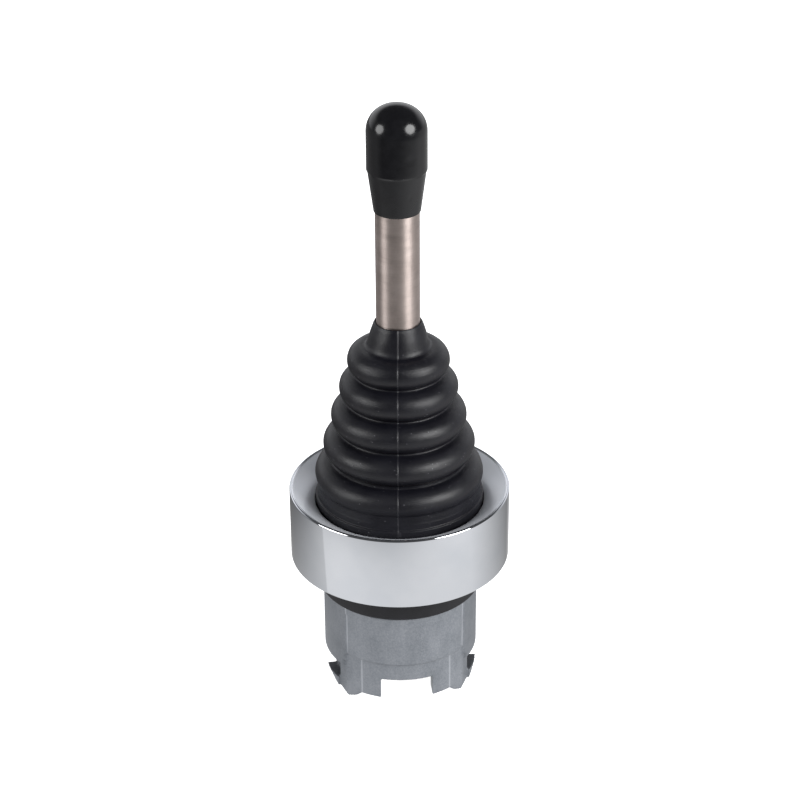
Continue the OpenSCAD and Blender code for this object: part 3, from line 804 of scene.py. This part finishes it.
def body_changes():
    """What is cut from the casting's solid and what is added to it."""
    under = arc(0, 0, OUTSIDE_R, 0, 354, 59)
    changes = [("DIFFERENCE", prism("cut_under", under, BELOW_ALL, FOOT_BOTTOM))]
    reach = math.degrees(math.acos(FLANK_HALF / CORE_R))
    beside = [(FLANK_HALF, -SIDE_REACH), (OUTSIDE_R, -SIDE_REACH), (OUTSIDE_R, SIDE_REACH),
              (FLANK_HALF, SIDE_REACH)] + arc(0, 0, CORE_R, reach, -reach, 16)
    for side in (-1, 1):
        outline = [(side * x, y) for x, y in beside]
        # degrees off the front become angles on this side
        cheek, cheek_end, corner, corner_end, flank, wall, lug_end = (
            FRONT + side * off for off in (CHEEK_FROM, 180 - CHEEK_FROM, CORNER_FROM, CORNER_TO, TOOTH[0][0],
                                           WALL_AT, TOOTH[-1][0]))
        changes += [
            ("DIFFERENCE", prism("cut_side", outline, FOOT_BOTTOM - 0.1, CHEEK_BOTTOM)),
            ("DIFFERENCE", sector("cut_corner", FOOT_R, CORNER_R, corner, corner_end, CHEEK_BOTTOM - 0.1,
                                  lambda a: BELOW_ALL, 12)),
            ("UNION", sector("cheek", CORE_R - 0.3, SHANK_R, cheek, cheek_end, CHEEK_TOP,
                             lambda a: CHEEK_BOTTOM, 30)),
            ("UNION", sector("flank", CAVITY_R, FOOT_R, flank, wall, FLANK_TOP, foot_edge, 12)),
            ("UNION", sector("lug", CAVITY_R, LUG_R, wall - side * 0.5, lug_end, LUG_TOP, foot_edge, 12))]
    ledge = arc(0, 0, LEDGE_R, LEDGE_FROM, LEDGE_TO, 4) + arc(0, 0, LEDGE_INNER_R, LEDGE_TO, LEDGE_FROM, 4)
    changes.append(("UNION", prism("ledge", ledge, LEDGE_BOTTOM, LEDGE_TOP)))
    return changes


def make_body():
    """The casting: the CAD solid's surface with the soft edges of a die casting."""
    obj = bpy.data.objects.new("cast_body", nodes["body"].data.copy())
    scene.collection.objects.link(obj)
    weld = obj.modifiers.new("weld", "WELD")
    weld.merge_threshold = 1e-6
    tools = []
    for operation, tool in body_changes():
        step = obj.modifiers.new(tool.name, "BOOLEAN")
        step.operation = operation
        step.object = tool
        step.solver = "EXACT"
        tools.append(tool)
    remesh = obj.modifiers.new("remesh", "REMESH")
    remesh.mode = "VOXEL"
    remesh.voxel_size = VOXEL * MM
    soften = obj.modifiers.new("soften", "SMOOTH")
    soften.factor = 0.5
    soften.iterations = 3
    graph = bpy.context.evaluated_depsgraph_get()
    mesh = bpy.data.meshes.new_from_object(obj.evaluated_get(graph))
    obj.modifiers.clear()
    obj.data = mesh
    for tool in tools:
        bpy.data.objects.remove(tool)
    mesh.polygons.foreach_set("use_smooth", [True] * len(mesh.polygons))
    finish_piece(obj, "zinc_casting", "body", "housing")


# Springs

def make_springs():
    """The plunger springs, copied from their CAD nodes."""
    for side in ("front", "right", "back", "left"):
        source = nodes["plunger_spring_" + side]
        obj = bpy.data.objects.new("spring_coil_" + side, source.data.copy())
        obj.matrix_world = source.matrix_world.copy()
        scene.collection.objects.link(obj)
        finish_piece(obj, SLOT_OF[source.name], source.name)
        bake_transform(obj)


make_knob()
make_springs()
make_boot()
make_bezel()
make_gasket()
make_body()


# Floor, light and camera

def stage_plane(name, z):
    h = FLOOR_HALF
    obj = add_object(name, [(-h, -h, z), (h, -h, z), (h, h, z), (-h, h, z)], [(0, 1, 2, 3)], smooth=False)
    return obj


def make_floor():
    """The pale floor that the camera sees."""
    floor = stage_plane("floor", FLOOR_Z)
    look = Look("floor_white", Base_Color=(0.9, 0.9, 0.905, 1), Roughness=0.9, Emission_Color=(1, 1, 1, 1),
                Emission_Strength=FLOOR_GLOW)
    floor.data.materials.append(look.mat)
    floor.visible_diffuse = False
    floor.visible_glossy = False


def light_pool(look, x, y, reach, strength):
    """A pool of light on the table card that fades outwards."""
    away = look.add("ShaderNodeVectorMath", operation="DISTANCE")
    look.join(look.coords, away.inputs[0])
    away.inputs[1].default_value = (x * MM, y * MM, TABLE_Z * MM)
    share = look.times(away.outputs["Value"], 1 / (reach * MM))
    return look.times(look.math("EXPONENT", look.times(share, share, -0.5)), strength)


def make_table_card():
    """What the gloss of the object shows of the lit table round it."""
    table = stage_plane("table_gloss", TABLE_Z)
    look = Look("table_gloss", Base_Color=(0, 0, 0, 1), Roughness=1.0, Specular_IOR_Level=0.0,
                Emission_Color=(1, 1, 1, 1), Emission_Strength=1.0)
    x, y = look.along("X"), look.along("Y")
    total = TABLE_DIM
    for pool in TABLE_POOLS:
        total = look.math("ADD", light_pool(look, *pool), total)
    # behind to the left the table ends against something darker
    edge = look.times(look.spread(y, -9.8 * MM, -9.3 * MM), look.spread(x, -10 * MM, -25 * MM),
                      look.spread(y, -40 * MM, 60 * MM))
    left = look.spread(edge, 0.0, 1.0, 1.0, 0.30)
    # to the right it fades, and then the pale backdrop starts
    angle = look.math("ARCTAN2", x, look.times(y, -1.0))
    right = look.spread(angle, math.radians(65), math.radians(130), 1.0, 0.5)
    again = look.spread(angle, math.radians(131), math.radians(141), 1.0, 1.9)
    total = look.times(total, left, right, again)
    # further off at the sides and behind
    far = look.spread(look.from_axis(), 90 * MM, 140 * MM)
    aside = look.spread(look.math("ABSOLUTE", angle), math.radians(60), math.radians(85))
    share = look.spread(x, -60 * MM, 60 * MM, 0.20, 0.42)
    total = look.math("ADD", total, look.times(far, aside, share))
    look.join(total, look.shader.inputs["Emission Strength"])
    table.data.materials.append(look.mat)
    table.visible_camera = False
    table.visible_diffuse = False
    table.visible_shadow = False


def make_lamp(name, azimuth, elevation, distance, diameter, radiance):
    """A round soft light; its power follows from its size and how bright it looks."""
    back = direction(azimuth, elevation)
    light = bpy.data.lights.new(name, "AREA")
    light.shape = "DISK"
    light.size = diameter
    light.energy = radiance * math.pi * math.pi * (diameter / 2) ** 2
    obj = bpy.data.objects.new(name, light)
    scene.collection.objects.link(obj)
    obj.location = LAMPS_AIM + back * distance
    obj.rotation_mode = "QUATERNION"
    obj.rotation_quaternion = back.to_track_quat("Z", "Y")


def make_world():
    """White for the camera; for everything else a dim room with a pale backdrop low behind the object."""
    world = bpy.data.worlds.new("studio")
    scene.world = world
    world.use_nodes = True
    tree = world.node_tree
    tree.nodes.clear()

    def add(kind, inputs=(), operation=None):
        """A node; inputs are a number, a colour or another node's output for each socket."""
        made = tree.nodes.new(kind)
        if operation:
            made.operation = operation
        for socket, value in zip(made.inputs, inputs):
            if isinstance(value, bpy.types.NodeSocket):
                tree.links.new(value, socket)
            else:
                socket.default_value = value
        return made

    def graded(value, *numbers):
        made = add("ShaderNodeMapRange")
        made.interpolation_type = "SMOOTHSTEP"
        set_range(made, *numbers)
        tree.links.new(value, made.inputs["Value"])
        return made.outputs["Result"]

    towards = add("ShaderNodeSeparateXYZ", [add("ShaderNodeTexCoord").outputs["Generated"]])
    behind = graded(towards.outputs["Y"], 0.1, 0.75, 0.0, 1.0)
    low = graded(towards.outputs["Z"], 0.37, 0.60, 1.0, 0.0)
    rays = add("ShaderNodeLightPath")
    room = add("ShaderNodeMath", [rays.outputs["Is Diffuse Ray"], ROOM_SCATTERED, ROOM], "MULTIPLY_ADD")
    pale = add("ShaderNodeMath", [behind, low, room.outputs[0]], "MULTIPLY_ADD")
    studio = add("ShaderNodeBackground", [(0.96, 0.97, 1.0, 1), pale.outputs[0]])
    white = add("ShaderNodeBackground", [(1, 1, 1, 1), WHITE])
    mix = add("ShaderNodeMixShader", [rays.outputs["Is Camera Ray"], studio.outputs[0], white.outputs[0]])
    add("ShaderNodeOutputWorld", [mix.outputs[0]])


def make_camera():
    data = bpy.data.cameras.new("camera")
    data.lens = CAM_LENS
    data.sensor_width = CAM_SENSOR
    data.clip_start, data.clip_end = CAM_CLIP
    obj = bpy.data.objects.new("camera", data)
    scene.collection.objects.link(obj)
    back = direction(CAM_AZIMUTH, CAM_PITCH)
    right = direction(CAM_AZIMUTH + 90, 0)
    up = back.cross(right)
    roll = math.radians(CAM_ROLL)
    tilted_up = up * math.cos(roll) + right * math.sin(roll)
    tilted_right = right * math.cos(roll) - up * math.sin(roll)
    turn = Matrix((tilted_right, tilted_up, back)).transposed()
    target = Vector((0, 0, CAM_TARGET_Z)) + right * CAM_TARGET_SIDE
    obj.matrix_world = Matrix.Translation(target + back * CAM_DISTANCE) @ turn.to_4x4()
    scene.camera = obj


make_floor()
make_table_card()
for name, lamp in LAMPS.items():
    make_lamp(name, *lamp)
make_world()
scene.view_settings.view_transform = "Standard"
make_camera()
